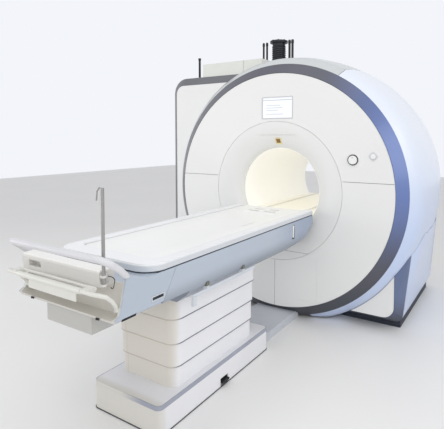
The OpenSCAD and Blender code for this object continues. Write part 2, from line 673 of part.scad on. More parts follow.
// Everything on one side of the slanted seam between the two covers
module seam_prism(shift, far) along_x(-500, 500)
    polygon([[1 - foot_end + shift, belly_z - 53], [220 - foot_end + shift, rim_h + 18], [far, rim_h + 18],
        [far, belly_z - 53]]);
// The covers rise to the head end in front of the pedestal, and have no belly behind it
module head_rise(i) along_x(-500, 500) polygon([[-300, belly_z - 30], [-300, belly_z + i],
    [-30, skirt_z - 73 + i], [30, skirt_z - 61 + i], [30, belly_z - 30]]);
belly_end = pedestal_end - 10;
module tail_rise(i) block([-500, -body_end - 100, belly_z - 50], [500, belly_end + i, edge_z + i]);
module table_cover() color("lightsteelblue") difference() {
    along_y(-foot_end - 70, -head_gap) skirt_outline(0);
    difference() {
        along_y(-foot_end - 71, -head_gap - cover_t) skirt_outline(cover_t);
        head_rise(cover_t);
        tail_rise(cover_t);
    }
    head_rise(0);
    tail_rise(0);
    seam_prism(1, -3000);
    // the pedestal passes through the floor of the cover
    upright(belly_z - 10, beam_z + 1) sleeve_outline(3, -3);
    block([-185, belly_end - 1, belly_z - 10], [185, belly_end + 20, beam_z + 1]);
    // slot of the release lever, and the mouth for the runners
    block([table_hw - 18, -378, edge_z + 28], [table_hw + 5, -336, skirt_z - 22]);
    block([-245, -40, deck_z - 12], [245, 10, skirt_z + 5]);
}

// End cover: flat underneath, with a deck under the rim. Its sides rise to the bumper, and a recess takes the handle.
end_wall = -body_end + 69;
lip_z = line_z + 23;
module end_outline(i) {
    half = [[table_hw - 12 - i * 0.4, edge_z + i], [table_hw - i, edge_z + 12 + i * 0.4], [table_hw - i, lip_z + 100]];
    polygon(concat(half, [for (k = [2:-1:0]) [-half[k][0], half[k][1]]]));
}
module end_profile() along_x(-500, 500) polygon([[-1500, skirt_z], [-foot_end - 8, skirt_z], [-foot_end - 40, skirt_z + 10],
    [-foot_end - 75, lip_z - 7], [-foot_end - 105, lip_z], [end_wall - 6, lip_z], [-body_end + 36, edge_z + 60],
    [-body_end + 24, edge_z + 29], [-body_end, edge_z + 16], [-body_end + 6, edge_z], [-1500, edge_z]]);
module end_cover() color("lightsteelblue") difference() {
    intersection() {
        along_y(-body_end, -1560) end_outline(0);
        end_profile();
    }
    difference() {
        along_y(end_wall + cover_t, -1559) end_outline(cover_t);
        block([-table_hw, end_wall, skirt_z - cover_t], [table_hw, 55 - foot_end, lip_z + 10]);
    }
    // recess round the handle and the cable box
    along_y(-body_end - 1, end_wall) rounded([-table_hw + 14, edge_z + 12], [table_hw - 14, lip_z + 60], 20);
    block([-table_hw + 14, -body_end - 1, skirt_z], [table_hw - 14, -1500, lip_z + 10]);
    seam_prism(-1, 500);
    // grip notches in the lower edge
    for (x = [-table_hw - 5, table_hw - 15]) block([x, 39 - body_end, edge_z - 1], [x + 20, 121 - body_end, edge_z + 13]);
    // pocket of the cover latch
    block([table_hw - 2.5, 10 - foot_end, edge_z + 29], [table_hw + 1, 95 - foot_end, edge_z + 55]);
}

// Dark strip in the joint between the covers and the rim
module rim_outline(inset) difference() {
    rounded([-table_hw + inset, -foot_end + inset], [table_hw - inset, 400], 104 - inset);
    translate([-500, -head_gap]) square([1000, 1000]);
}
module seam_strip() color("darkslategray") upright(skirt_z, line_z) difference() {
    rim_outline(3);
    rim_outline(16);
    translate([-240, -60]) square([480, 200]);
}

// Rim round three sides of the sliding top
module table_rim() color("white") difference() {
    union() {
        upright(line_z, rim_h - 6) rim_outline(0);
        upright(rim_h - 6.5, rim_h) rim_outline(4);
    }
    upright(top_z - top_t - 4, rim_h + 5) rounded([-top_hw - 4, -top_end - 4], [top_hw + 4, 500], 64);
    upright(line_z - 1, rim_h) rounded([-250, -top_end + 30], [250, 500], 20);
}

// Sliding top, a shallow tray with runners and coil sockets
tray_r = 1600;
module tabletop() color("white") difference() {
    union() {
        upright(top_z - top_t, top_z) difference() {
            rounded([-top_hw, -top_end], [top_hw, 100], 60);
            translate([-500, -head_gap]) square([1000, 1000]);
        }
        for (x = [-runner_x - runner_w, runner_x])
            block([x, -top_end + 80, deck_z + fit], [x + runner_w, -head_gap - 40, top_z - top_t + 1]);
    }
    // dish of the tray, a shallow arc along its length
    translate([0, -top_end + 50, top_z + tray_r - 12]) rotate([-90, 0, 0])
        cylinder(r = tray_r, h = top_end - 330, $fn = 360);
    // coil sockets at the head end
    for (x = [-122, 18]) block([x, -236, top_z - 14], [x + 104, -214, top_z + 5]);
    for (x = [-112, 28]) block([x, -150, top_z - 8], [x + 84, -128, top_z + 5]);
    block([174, -815, top_z - 12], [182, -640, top_z + 5]);
}

// Cable box on the foot end, with the brackets of the drip pole, and the tray below it
box_z = skirt_z - 7;
box_x = [55 - table_hw, table_hw - 78];
module end_box() color("gainsboro") difference() {
    union() {
        along_x(box_x[0], box_x[1]) polygon([[-body_end - 6, box_z], [-body_end - 13, rim_h + 11],
            [-body_end - 4, rim_h + 23], [-body_end + 50, rim_h + 23], [end_wall - 0.2, rim_h + 2],
            [end_wall - 0.2, box_z]]);
        for (z = [box_z + 8, rim_h - 4]) hull() {
            translate([pole_at[0], pole_at[1], z]) cylinder(r = pole_r + 5, h = 10, $fn = 36);
            block([box_x[1] - 12, -body_end - 5, z], [box_x[1], -body_end + 40, z + 10]);
        }
    }
    block([-232, -body_end - 40, rim_h - 29], [-142, -body_end + 22, rim_h - 1]);
    translate([pole_at[0], pole_at[1], box_z - 10]) cylinder(r = pole_r + fit, h = 100, $fn = 36);
}
module lower_box() color("silver") difference() {
    along_x(-158, 158) polygon([[30 - body_end, edge_z - 95], [30 - body_end, edge_z], [40 - foot_end, edge_z],
        [60 - foot_end, edge_z - 95]]);
    along_x(-153, 153) polygon([[35 - body_end, edge_z - 90], [35 - body_end, edge_z + 5], [36 - foot_end, edge_z + 5],
        [54 - foot_end, edge_z - 90]]);
}

// Bumper bar across the foot end, swept down to the covers at both sides
module bar_path(points, r) for (i = [0:len(points) - 2]) hull() {
    translate(points[i]) sphere(r, $fn = 20);
    translate(points[i + 1]) sphere(r, $fn = 20);
}
module bumper_bar() color("lavender") difference() {
    arm = [[62 - table_hw, bumper_y, bumper_z], [30 - table_hw, bumper_y + 12, bumper_z - 5],
        [8 - table_hw, bumper_y + 42, bumper_z - 24], [5 - table_hw, bumper_y + 89, bumper_z - 61],
        [7 - table_hw, end_wall + 1, lip_z + 4]];
    union() {
        for (s = [-1, 1]) bar_path([for (p = arm) [s * p[0], p[1], p[2]]], bumper_r);
        bar_path([arm[0], [-arm[0][0], bumper_y, bumper_z]], bumper_r);
    }
    block([-table_hw - 60, end_wall - 20, lip_z - 40], [table_hw + 60, end_wall + 60, lip_z]);
}

// Transport handle, a bent tube with a second bar and a plate, that swings down round two pins
module transport_handle() color("ivory") {
    pin_x = table_hw - 28;
    grip_x = table_hw - 44;
    bar_x = table_hw - 72;
    clamp_x = table_hw - 95;
    arm = [[pin_x, pin_at[0], pin_at[1]], [pin_x + 3, pin_at[0] - 12, pin_at[1] + 18],
        [pin_x + 14, bar_at[0] + 70, bar_at[1] - 44], [pin_x + 18, bar_at[0] + 36, bar_at[1] - 15],
        [pin_x + 6, bar_at[0] + 9, bar_at[1] - 2], [grip_x, bar_at[0], bar_at[1]]];
    for (s = [-1, 1]) {
        bar_path([for (p = arm) [s * p[0], p[1], p[2]]], handle_r);
        translate([s * (pin_x + 2.2), pin_at[0], pin_at[1]]) rotate([0, 90, 0]) cylinder(r = 12, h = 23, center = true);
        block([s * clamp_x - 18, bar_at[0] - 7, bar_at[1] - 6], [s * clamp_x + 18, bar_at[0] + 42, bar_at[1] + 13]);
    }
    translate([-grip_x, bar_at[0], bar_at[1]]) rotate([0, 90, 0]) cylinder(r = handle_r, h = 2 * grip_x);
    translate([-bar_x, bar_at[0] + 35, bar_at[1] + 8]) rotate([0, 90, 0]) cylinder(r = 7, h = 2 * bar_x);
    block([-140, bar_at[0] - 2, bar_at[1] - 50], [190, bar_at[0] + 2, bar_at[1] - 4]);
}

// Drip pole with its hook
module drip_pole() color("darkgray") translate([pole_at[0], pole_at[1], rim_h]) {
    translate([0, 0, box_z + 8 - rim_h]) cylinder(r = pole_r, h = pole_len - 25 - box_z - 8 + rim_h);
    bar_path([[0, 0, pole_len - 27], [-14, -4, pole_len - 25], [-24, -8, pole_len - 41], [-26, -9, pole_len - 75]], 3.5);
}

// Rail for accessories under the right side
module accessory_rail() color("lightgray") {
    block([table_hw - 14, -1516, edge_z - 51], [table_hw - 8, -900, edge_z - 31]);
    // brackets that follow the lower bevel of the cover
    for (y = [-1412, -1057]) along_y(y, y + 24) translate([table_hw, edge_z])
        polygon([[-24, -49], [-13, -49], [-13, -33], [-4, -33], [3, -22], [3, 6], [-1.6, 6], [-5.5, -6.4],
            [-23.6, -26.4], [-24, -26.4]]);
    block([table_hw - 18, -1516, edge_z - 93], [table_hw - 4, -1490, edge_z - 43]);
}

// Release lever of the sliding top, in its slot
module release_lever() color("white") {
    translate([table_hw - 3, -377.7, edge_z + 118]) rotate([-90, 0, 0]) cylinder(r = 2.7, h = 41.4);
    along_x(table_hw - 8, table_hw) rounded([-365, edge_z + 36], [-349, edge_z + 126], 7.5);
}

placed() base_frame();
placed() magnet_vessel();
placed() gradient_coil();
placed() body_coil();
placed() bore_liner();
placed() bore_bridge();
placed() bridge_glides();
placed() front_funnel();
placed() rear_funnel();
placed() face_upper();
placed() face_lower_left();
placed() face_lower_right();
placed() trim_ring();
placed() barrel_cover_top();
placed() barrel_cover_right();
placed() barrel_cover_left();
placed() rear_cover();
placed() tower_cover();
placed() tower_panel();
placed() tower_trim();
placed() foot_cover();
placed() foot_panel();
placed() foot_trim();
placed() kick_frame();
placed() shoulder_cover();
placed() turret_cover();
placed() display_housing();
placed() display_glass();
placed() knob_bezel();
placed() jog_knob();
placed() push_button();
placed() laser_window();
placed() quench_pipe();
placed() quench_flange();
placed() service_lines();
placed() floor_duct();
placed() table_base();
placed() plinth();
placed() plinth_trim();
placed() foot_pedal();
placed() sleeve_1();
placed() sleeve_2();
placed() sleeve_3();
placed() sleeve_4();
placed() column_tubes();
placed() column_stages();
placed() column_rams();
placed() table_frame();
placed() table_cover();
placed() end_cover();
placed() seam_strip();
placed() table_rim();
placed() tabletop();
placed() end_box();
placed() lower_box();
placed() bumper_bar();
placed() transport_handle();
placed() drip_pole();
placed() accessory_rail();
placed() release_lever();
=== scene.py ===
# Magnetic resonance scanner: the finish of every surface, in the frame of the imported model.
import math

import bmesh
import bpy
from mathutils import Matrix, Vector


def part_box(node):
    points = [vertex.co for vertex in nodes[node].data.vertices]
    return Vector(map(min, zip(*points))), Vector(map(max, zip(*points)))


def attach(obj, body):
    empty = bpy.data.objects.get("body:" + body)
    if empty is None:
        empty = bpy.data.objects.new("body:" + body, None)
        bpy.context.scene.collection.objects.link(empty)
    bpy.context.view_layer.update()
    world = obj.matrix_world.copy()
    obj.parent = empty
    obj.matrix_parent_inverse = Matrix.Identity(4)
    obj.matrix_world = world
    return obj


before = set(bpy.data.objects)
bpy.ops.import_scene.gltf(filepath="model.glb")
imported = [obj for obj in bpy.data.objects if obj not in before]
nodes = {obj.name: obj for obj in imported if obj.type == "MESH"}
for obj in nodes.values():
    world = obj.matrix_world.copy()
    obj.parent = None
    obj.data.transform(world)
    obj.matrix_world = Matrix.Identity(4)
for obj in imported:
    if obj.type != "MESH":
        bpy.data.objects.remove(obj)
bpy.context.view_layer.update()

# Camera of the photograph
# It stands to the right of the table's foot end, about 1.5 m over the floor, and looks 3 degrees down.
# Its place, lens and shifts were fitted to the edges of the object in the picture.
# The place is measured from the face, which lies face_depth in front of the magnet's middle.
face_depth = 0.75
camera_data = bpy.data.cameras.new("camera")
camera_data.lens = 35.615
camera_data.shift_x = -0.0327
camera_data.shift_y = -0.1218
camera_data.clip_end = 60
camera = bpy.data.objects.new("camera", camera_data)
camera.location = (1.698, -3.230 - face_depth, 1.487)
camera.rotation_euler = (math.radians(87), 0, math.radians(32.77))
bpy.context.scene.collection.objects.link(camera)
bpy.context.scene.camera = camera

# Magnet
# A steel cryostat with the gradient and transmit coils in its bore, on a painted steel frame.
# It is hidden by the covers, and shows only through the joints and from below.


def linear(red, green, blue):
    """A colour as a designer reads it off a sample, 0 to 255, in the renderer's own units."""
    return tuple(
        c / 12.92 if c <= 0.04045 else ((c + 0.055) / 1.055) ** 2.4
        for c in (red / 255, green / 255, blue / 255)
    ) + (1.0,)


class Finish:
    """One surface finish: a shader with a faint uneven tone, a fine grain and softened edges."""

    def __init__(self, name, colour, roughness, metallic=0.0):
        self.material = bpy.data.materials.new(name)
        self.material.use_nodes = True
        self.tree = self.material.node_tree
        self.shader = self.tree.nodes["Principled BSDF"]
        self.shader.inputs["Roughness"].default_value = roughness
        self.shader.inputs["Metallic"].default_value = metallic
        self.shader.inputs["Base Color"].default_value = colour
        self.colour = colour
        self.roughness = roughness
        self.place = self.add("ShaderNodeTexCoord").outputs["Object"]

    def add(self, kind, **values):
        node = self.tree.nodes.new(kind)
        for key, value in values.items():
            if key in node.inputs:
                node.inputs[key].default_value = value
            else:
                setattr(node, key, value)
        return node

    def wire(self, start, end):
        self.tree.links.new(start, end)

    def noise(self, scale, detail):
        pattern = self.add("ShaderNodeTexNoise", Scale=scale, Detail=detail)
        self.wire(self.place, pattern.inputs["Vector"])
        return pattern.outputs["Fac"]

    def tone(self, scale, spread, tint=(1, 1, 1)):
        """Mixes the colour with a slightly darker, tinted one in broad clouds."""
        low = tuple(c * (1 - spread) * t for c, t in zip(self.colour, tint)) + (1.0,)
        ramp = self.add("ShaderNodeValToRGB")
        ramp.color_ramp.elements[0].position = 0.35
        ramp.color_ramp.elements[1].position = 0.65
        ramp.color_ramp.elements[0].color = low
        ramp.color_ramp.elements[1].color = self.colour
        self.wire(self.noise(scale, 3.0), ramp.inputs["Fac"])
        self.wire(ramp.outputs["Color"], self.shader.inputs["Base Color"])
        return self

    def sheen(self, spread=0.06):
        """Varies the roughness, as fingerprints and polish do."""
        span = self.add("ShaderNodeMapRange")
        span.inputs["To Min"].default_value = max(0.02, self.roughness - spread)
        span.inputs["To Max"].default_value = self.roughness + spread
        self.wire(self.noise(14.0, 5.0), span.inputs["Value"])
        self.wire(span.outputs["Result"], self.shader.inputs["Roughness"])
        return self

    def grain(self, scale=900.0, depth=0.00005, edge=0.0015):
        """Fine bumps of the surface, on edges that are rounded by the given radius."""
        bump = self.add("ShaderNodeBump")
        bump.inputs["Distance"].default_value = depth
        bump.inputs["Strength"].default_value = 0.35
        self.wire(self.noise(scale, 2.0), bump.inputs["Height"])
        rounding = self.add("ShaderNodeBevel", samples=4)
        rounding.inputs["Radius"].default_value = edge
        self.wire(rounding.outputs["Normal"], bump.inputs["Normal"])
        self.wire(bump.outputs["Normal"], self.shader.inputs["Normal"])
        return self

    def along(self, axis, low, high):
        """A mask that runs from 0 at low to 1 at high along X, Y or Z."""
        parts = self.add("ShaderNodeSeparateXYZ")
        self.wire(self.place, parts.inputs["Vector"])
        span = self.add("ShaderNodeMapRange", interpolation_type="SMOOTHSTEP")
        span.inputs["From Min"].default_value = min(low, high)
        span.inputs["From Max"].default_value = max(low, high)
        span.inputs["To Min"].default_value = 0.0 if low < high else 1.0
        span.inputs["To Max"].default_value = 1.0 if low < high else 0.0
        self.wire(parts.outputs[axis], span.inputs["Value"])
        return span.outputs["Result"]

    def both(self, first, second):
        """A mask that is 1 only where two masks are."""
        product = self.add("ShaderNodeMath", operation="MULTIPLY")
        self.wire(first, product.inputs[0])
        self.wire(second, product.inputs[1])
        return product.outputs["Value"]

    def band(self, axis, low, high, fade):
        """A mask that is 1 from low to high, and fades out just inside both ends."""
        return self.both(self.along(axis, low, low + fade), self.along(axis, high, high - fade))

    def recolour(self, colour, mask):
        """Lays another colour over the present one where the mask is 1."""
        mix = self.add("ShaderNodeMix", data_type="RGBA")
        base = self.shader.inputs["Base Color"]
        if base.is_linked:
            self.wire(base.links[0].from_socket, mix.inputs[6])
        else:
            mix.inputs[6].default_value = base.default_value
        mix.inputs[7].default_value = colour
        self.wire(mask, mix.inputs[0])
        self.wire(mix.outputs[2], base)
        return self

    def coat(self, weight, roughness=0.08):
        self.shader.inputs["Coat Weight"].default_value = weight
        self.shader.inputs["Coat Roughness"].default_value = roughness
        return self

    def glow(self, colour, strength):
        self.shader.inputs["Emission Color"].default_value = colour
        self.shader.inputs["Emission Strength"].default_value = strength
        return self


def smoothing_tree():
    """Joins a part's loose triangles and shades them smooth, but for the edges over a set angle."""
    tree = bpy.data.node_groups.new("smooth curved faces", "GeometryNodeTree")
    tree.interface.new_socket("Geometry", in_out="INPUT", socket_type="NodeSocketGeometry")
    tree.interface.new_socket("Geometry", in_out="OUTPUT", socket_type="NodeSocketGeometry")
    sharp_from = tree.interface.new_socket("Sharp From", in_out="INPUT", socket_type="NodeSocketFloat")
    sharp_from.default_value = math.radians(28)
    start = tree.nodes.new("NodeGroupInput")
    end = tree.nodes.new("NodeGroupOutput")
    merge = tree.nodes.new("GeometryNodeMergeByDistance")
    merge.inputs["Distance"].default_value = 0.00002
    angle = tree.nodes.new("GeometryNodeInputMeshEdgeAngle")
    soft = tree.nodes.new("FunctionNodeCompare")
    soft.operation = "LESS_EQUAL"
    faces = tree.nodes.new("GeometryNodeSetShadeSmooth")
    faces.domain = "FACE"
    edges = tree.nodes.new("GeometryNodeSetShadeSmooth")
    edges.domain = "EDGE"
    link = tree.links.new
    link(start.outputs["Geometry"], merge.inputs["Geometry"])
    link(merge.outputs["Geometry"], faces.inputs["Geometry"])
    link(faces.outputs["Geometry"], edges.inputs["Geometry"])
    link(angle.outputs["Unsigned Angle"], soft.inputs[0])
    link(start.outputs["Sharp From"], soft.inputs[1])
    link(soft.outputs["Result"], edges.inputs["Shade Smooth"])
    link(edges.outputs["Geometry"], end.inputs["Geometry"])
    return tree


smooth_faces = smoothing_tree()


def dress(finish, *names):
    """Gives carried-over parts their finish and smooth curved faces."""
    for name in names:
        part = nodes[name]
        if not part.material_slots:
            part.data.materials.append(None)
        for place in part.material_slots:
            place.link = "OBJECT"
            place.material = finish.material
        part.modifiers.new("smooth", "NODES").node_group = smooth_faces


vessel_steel = Finish("vessel steel", linear(160, 163, 168), 0.38, 1.0).tone(4, 0.12).grain(300, 0.0001)
frame_paint = Finish("grey frame paint", linear(74, 78, 84), 0.55).tone(8, 0.15).sheen().grain()
copper_resin = Finish("copper in resin", linear(150, 88, 52), 0.45).tone(6, 0.2).grain(200, 0.0002)
amber_resin = Finish("amber resin", linear(176, 148, 84), 0.4).tone(6, 0.2).grain(200, 0.0002)
dress(vessel_steel, "magnet_vessel")
dress(frame_paint, "base_frame", "table_base", "table_frame")
dress(copper_resin, "gradient_coil")
dress(amber_resin, "body_coil")

# Patient bore
# A smooth cream liner of glass-fibre resin, made in one tube, with a faint painted glow for the light in the
# bore.
# The bridge in it takes over the sliding top, on hard white glides.
bore_cream = Finish("bore cream", linear(252, 251, 247), 0.5).tone(2, 0.02).grain()
# Painted light: the liner glows, though it is no lamp.
bore_cream.glow(linear(255, 252, 243), 0.14)
bridge_cream = Finish("bridge cream", linear(246, 243, 230), 0.5).tone(3, 0.04).grain()
# Painted light: the bridge glows faintly too, though it is no lamp.
bridge_cream.glow(linear(255, 251, 238), 0.15)
glide_white = Finish("glide white", linear(238, 238, 234), 0.3).tone(12, 0.04).grain(1500)
dress(bore_cream, "bore_liner")
dress(bridge_cream, "bore_bridge")
dress(glide_white, "bridge_glides")

# Face of the gantry
# Thick moulded covers with a fine satin grain, held from behind, round a flared funnel with a seam near
# its foot. The rear cover is held by nine quarter-turn fasteners, each a disc with a raised grip.


def plain_mesh(piece):
    """The mesh that a piece's modifiers or curve make, as a new plain mesh."""
    bpy.context.view_layer.update()
    return bpy.data.meshes.new_from_object(piece.evaluated_get(bpy.context.evaluated_depsgraph_get()))


class Pattern:
    """A tree of Geometry Nodes with named inputs, grown into a plain mesh for each use."""

    def __init__(self, name, **inputs):
        kinds = {int: "NodeSocketInt", float: "NodeSocketFloat", tuple: "NodeSocketVector"}
        inputs.update(place=(0.0, 0.0, 0.0), turn=(0.0, 0.0, 0.0))
        self.tree = bpy.data.node_groups.new(name, "GeometryNodeTree")
        interface = self.tree.interface
        interface.new_socket("Geometry", in_out="INPUT", socket_type="NodeSocketGeometry")
        interface.new_socket("Geometry", in_out="OUTPUT", socket_type="NodeSocketGeometry")
        self.names = {}
        for key, value in inputs.items():
            socket = interface.new_socket(key, in_out="INPUT", socket_type=kinds[type(value)])
            socket.default_value = value
            self.names[key] = socket.identifier
        finish = interface.new_socket("finish", in_out="INPUT", socket_type="NodeSocketMaterial")
        self.names["finish"] = finish.identifier
        self.given = self.tree.nodes.new("NodeGroupInput").outputs

    def node(self, kind, settings=None, **inputs):
        """Adds a node, sets or wires its inputs, and hands on its first output."""
        node = self.tree.nodes.new(kind)
        for key, value in (settings or {}).items():
            setattr(node, key, value)
        for key, value in inputs.items():
            socket = node.inputs[key.replace("_", " ")]
            for one in value if isinstance(value, list) else [value]:
                if isinstance(one, bpy.types.NodeSocket):
                    self.tree.links.new(one, socket)
                else:
                    socket.default_value = one
        return node.outputs[0]

    def raised(self, geometry, height):
        return self.node("GeometryNodeTransform", Geometry=geometry, Translation=(0.0, 0.0, height))

    def bar(self, length, width, height):
        size = self.node("ShaderNodeCombineXYZ", X=length, Y=width, Z=height)
        return self.node("GeometryNodeMeshCube", Size=size)

    def ring(self):
        """Points at equal steps on a circle."""
        return self.node("GeometryNodeMeshCircle", Vertices=self.given["count"], Radius=self.given["ring"])

    def close(self, geometry):
        """Ends the tree: the pieces are turned and placed, made real and given their finish."""
        placed = self.node(
            "GeometryNodeTransform", Geometry=geometry, Translation=self.given["place"],
            Rotation=self.given["turn"],
        )
        real = self.node("GeometryNodeRealizeInstances", Geometry=placed)
        painted = self.node("GeometryNodeSetMaterial", Geometry=real, Material=self.given["finish"])
        end = self.tree.nodes.new("NodeGroupOutput")
        self.tree.links.new(painted, end.inputs["Geometry"])
        return self

    def grow(self, name, finish, **values):
        seed = bpy.data.objects.new(name, bpy.data.meshes.new(name))
        bpy.context.scene.collection.objects.link(seed)
        modifier = seed.modifiers.new("grow", "NODES")
        modifier.node_group = self.tree
        modifier[self.names["finish"]] = finish.material
        for key, value in values.items():
            modifier[self.names[key]] = value
        grown = plain_mesh(seed)
        seed.modifiers.remove(modifier)
        seed.data = grown
        return seed


def settle(piece, body):
    """Says which body carries a piece."""
    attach(piece, body)


def fastener_tree():
    """Quarter-turn fasteners set evenly on a circle: a disc, its bevelled crown and a grip across it."""
    p = Pattern("fasteners on a circle", count=9, ring=0.9, head=0.009, grip=0.0022)
    head = p.given["head"]
    disc = p.node("GeometryNodeMeshCylinder", Vertices=32, Radius=head, Depth=0.003)
    crown = p.node("GeometryNodeMeshCone", Vertices=32, Radius_Bottom=head, Radius_Top=0.0065, Depth=0.0012)
    grip = p.bar(0.012, p.given["grip"], 0.004)
    parts = [disc, p.raised(crown, 0.0014), p.raised(grip, 0.0025)]
    whole = p.node("GeometryNodeJoinGeometry", Geometry=parts)
    return p.close(p.node("GeometryNodeInstanceOnPoints", Points=p.ring(), Instance=whole))


face_white = Finish("satin white cover", linear(233, 233, 231), 0.42).tone(1.1, 0.02).sheen(0.05).grain()
face_white.coat(0.15, 0.25)
funnel_white = Finish("satin white funnel", linear(231, 231, 229), 0.42).tone(1.1, 0.02).sheen(0.05).grain()
funnel_white.coat(0.15, 0.25)
lower_seam_z = (0.5528, 0.5558)
funnel_white.recolour(linear(118, 120, 124), funnel_white.band("Z", *lower_seam_z, 0.0004))
fastener_grey = Finish("fastener grey", linear(150, 152, 154), 0.4, 0.4).tone(40, 0.15).grain()
dress(funnel_white, "front_funnel")
dress(face_white, "rear_funnel", "face_upper", "face_lower_left", "face_lower_right", "rear_cover")
axis_height = 1.045
rear_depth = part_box("rear_cover")[1].y
disc_middle = 0.0012
rear_fasteners = fastener_tree().grow(
    "rear_fasteners", fastener_grey, ring=0.954, place=(0.0, rear_depth + disc_middle, axis_height),
    turn=(math.radians(-90), math.radians(20), 0.0),
)
settle(rear_fasteners, "gantry")

# Ring
# The sloping ring that frames the face: a moulded band, sprayed slate blue and clear coated.
# A painted reflection makes it bluer at the right, and painted shade makes it almost black near the floor.
reflection_x = (0.35, 0.98)
reflection_z = (0.45, 1.1)
floor_shade_z = (0.5, 0.1)
ring_slate = Finish("slate ring paint", linear(78, 79, 90), 0.34, 0.1)
ring_slate.tone(2.2, 0.08, (1, 1, 1.02)).sheen(0.05)
painted_reflection = ring_slate.both(ring_slate.along("X", *reflection_x), ring_slate.along("Z", *reflection_z))
# Painted reflection: bluer towards the right and top.
ring_slate.recolour(linear(100, 120, 174), painted_reflection)
# Painted shade: almost black near the floor.
ring_slate.recolour(linear(60, 63, 72), ring_slate.along("Z", *floor_shade_z))
ring_slate.grain(1500, 0.00003).coat(0.3, 0.15)
dress(ring_slate, "trim_ring")

# Barrel
# Three arched covers of glass-fibre resin with a glossier white lacquer, whose blue cast is painted shade
# that grows stronger towards the floor.
# The one on top is a warmer grey, and the cover over the foot has the same lacquer as the sides.
barrel_painted_shade_z = (1.6, 0.7)
# The base colour's blue cast is painted shade.
barrel_white = Finish("blue white lacquer", linear(228, 233, 243), 0.3)
barrel_white.tone(0.9, 0.02, (0.99, 1, 1)).sheen(0.04)
# Painted shade: bluer towards the floor.
barrel_white.recolour(linear(196, 210, 238), barrel_white.along("Z", *barrel_painted_shade_z))
barrel_white.grain(700, 0.00004, 0.003).coat(0.35, 0.12)
barrel_grey = Finish("grey white lacquer", linear(202, 205, 205), 0.34).tone(0.9, 0.03).sheen(0.04)
barrel_grey.grain(700, 0.00004, 0.003).coat(0.25, 0.15)
dress(barrel_white, "barrel_cover_right", "barrel_cover_left", "foot_cover")
dress(barrel_grey, "barrel_cover_top")

# Tower and foot
# Flat panels in the face's white, with a dark bevel, on a set-back kick frame.
# The kick frame has a pale strip at the floor, and a slatted vent sits on the back of the tower.


def slat_tree():
    """Tilted slats at equal steps up a frame."""
    p = Pattern("slats", count=12, step=0.018, width=0.2, depth=0.012, tilt=(0.6, 0.0, 0.0))
    step = p.node("ShaderNodeCombineXYZ", Z=p.given["step"])
    line = p.node("GeometryNodeMeshLine", Count=p.given["count"], Offset=step)
    slat = p.bar(p.given["width"], p.given["depth"], 0.0015)
    slat = p.node("GeometryNodeTransform", Geometry=slat, Rotation=p.given["tilt"])
    return p.close(p.node("GeometryNodeInstanceOnPoints", Points=line, Instance=slat))


def built(name, form, finish):
    """Turns a finished bmesh into a piece at the origin."""
    bmesh.ops.remove_doubles(form, verts=form.verts, dist=0.00001)
    bmesh.ops.recalc_face_normals(form, faces=form.faces)
    mesh = bpy.data.meshes.new(name)
    form.to_mesh(mesh)
    form.free()
    mesh.materials.append(finish.material)
    piece = bpy.data.objects.new(name, mesh)
    bpy.context.scene.collection.objects.link(piece)
    return piece


def soft_block(form, low, high, edge, segments=2):
    """Adds a block with rounded edges to a bmesh."""
    grown = bmesh.ops.create_cube(form, size=1.0)
    centre = (Vector(low) + Vector(high)) / 2
    span = Vector(high) - Vector(low)
    for vertex in grown["verts"]:
        vertex.co = Vector(a * b for a, b in zip(vertex.co, span)) + centre
    edges = list({e for v in grown["verts"] for e in v.link_edges})
    bmesh.ops.bevel(form, geom=edges, offset=edge, segments=segments, profile=0.5, affect="EDGES")


def loft(form, rows):
    """Joins rows of points, closed both ways, into a band of faces."""
    rows = [[form.verts.new(point) for point in row] for row in rows]
    for here, there in zip(rows, rows[1:] + rows[:1]):
        for j in range(len(here)):
            after = (j + 1) % len(here)
            form.faces.new((here[j], here[after], there[after], there[j]))


def border(form, spot, width, height, band, tall, edge):
    """Adds a flat frame with bevelled edges; spot turns distances across, up and out into a point."""
    profile = ((0, 0), (0, tall - edge), (edge, tall), (band - edge, tall), (band, tall - edge), (band, 0))
    corners = ((-1, -1), (1, -1), (1, 1), (-1, 1))
    loft(form, [
        [spot(a * (width / 2 - inset), b * (height / 2 - inset), out) for inset, out in profile]
        for a, b in corners
    ])


foot_shade_z = (0.3, 0.05)
strip_top = 0.010
strip_depth = 0.0015
tower_grey = Finish("dark grey bevel", linear(108, 108, 114), 0.4, 0.15).tone(2, 0.08).sheen().grain()
foot_slate = Finish("slate foot bevel", linear(98, 112, 146), 0.36, 0.1).tone(2, 0.08).sheen().grain()
foot_slate.recolour(linear(66, 70, 82), foot_slate.along("Z", *foot_shade_z))
kick_dark = Finish("dark kick paint", linear(40, 46, 60), 0.6).tone(5, 0.15)
kick_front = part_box("kick_frame")[0].y
kick_strip = kick_dark.both(
    kick_dark.along("Z", strip_top + 0.001, strip_top),
    kick_dark.along("Y", kick_front + strip_depth + 0.0005, kick_front + strip_depth),
)
kick_dark.recolour(linear(190, 196, 208), kick_strip)
kick_dark.grain()
vent_grey = Finish("vent grey", linear(196, 198, 200), 0.45).tone(14, 0.06).grain()
# A near-black finish for openings, standing in for the shade inside them.
hollow_shade = Finish("vent hollow", linear(30, 31, 34), 0.8).tone(20, 0.2).grain()
dress(face_white, "tower_cover", "tower_panel", "foot_panel")
dress(tower_grey, "tower_trim")
dress(foot_slate, "foot_trim")
dress(kick_dark, "kick_frame")
vent_x = (-1.17, -0.91)
vent_z = (0.15, 0.41)
vent_width = vent_x[1] - vent_x[0]
vent_height = vent_z[1] - vent_z[0]
tower_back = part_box("tower_cover")[1].y
vent_root = tower_back - 0.001
vent_centre = Vector((sum(vent_x) / 2, vent_root, sum(vent_z) / 2))
vent_form = bmesh.new()
border(
    vent_form, lambda a, b, out: vent_centre + Vector((a, out, b)), vent_width, vent_height,
    band=0.016, tall=0.012, edge=0.002,
)
settle(built("vent_frame", vent_form, vent_grey), "gantry")
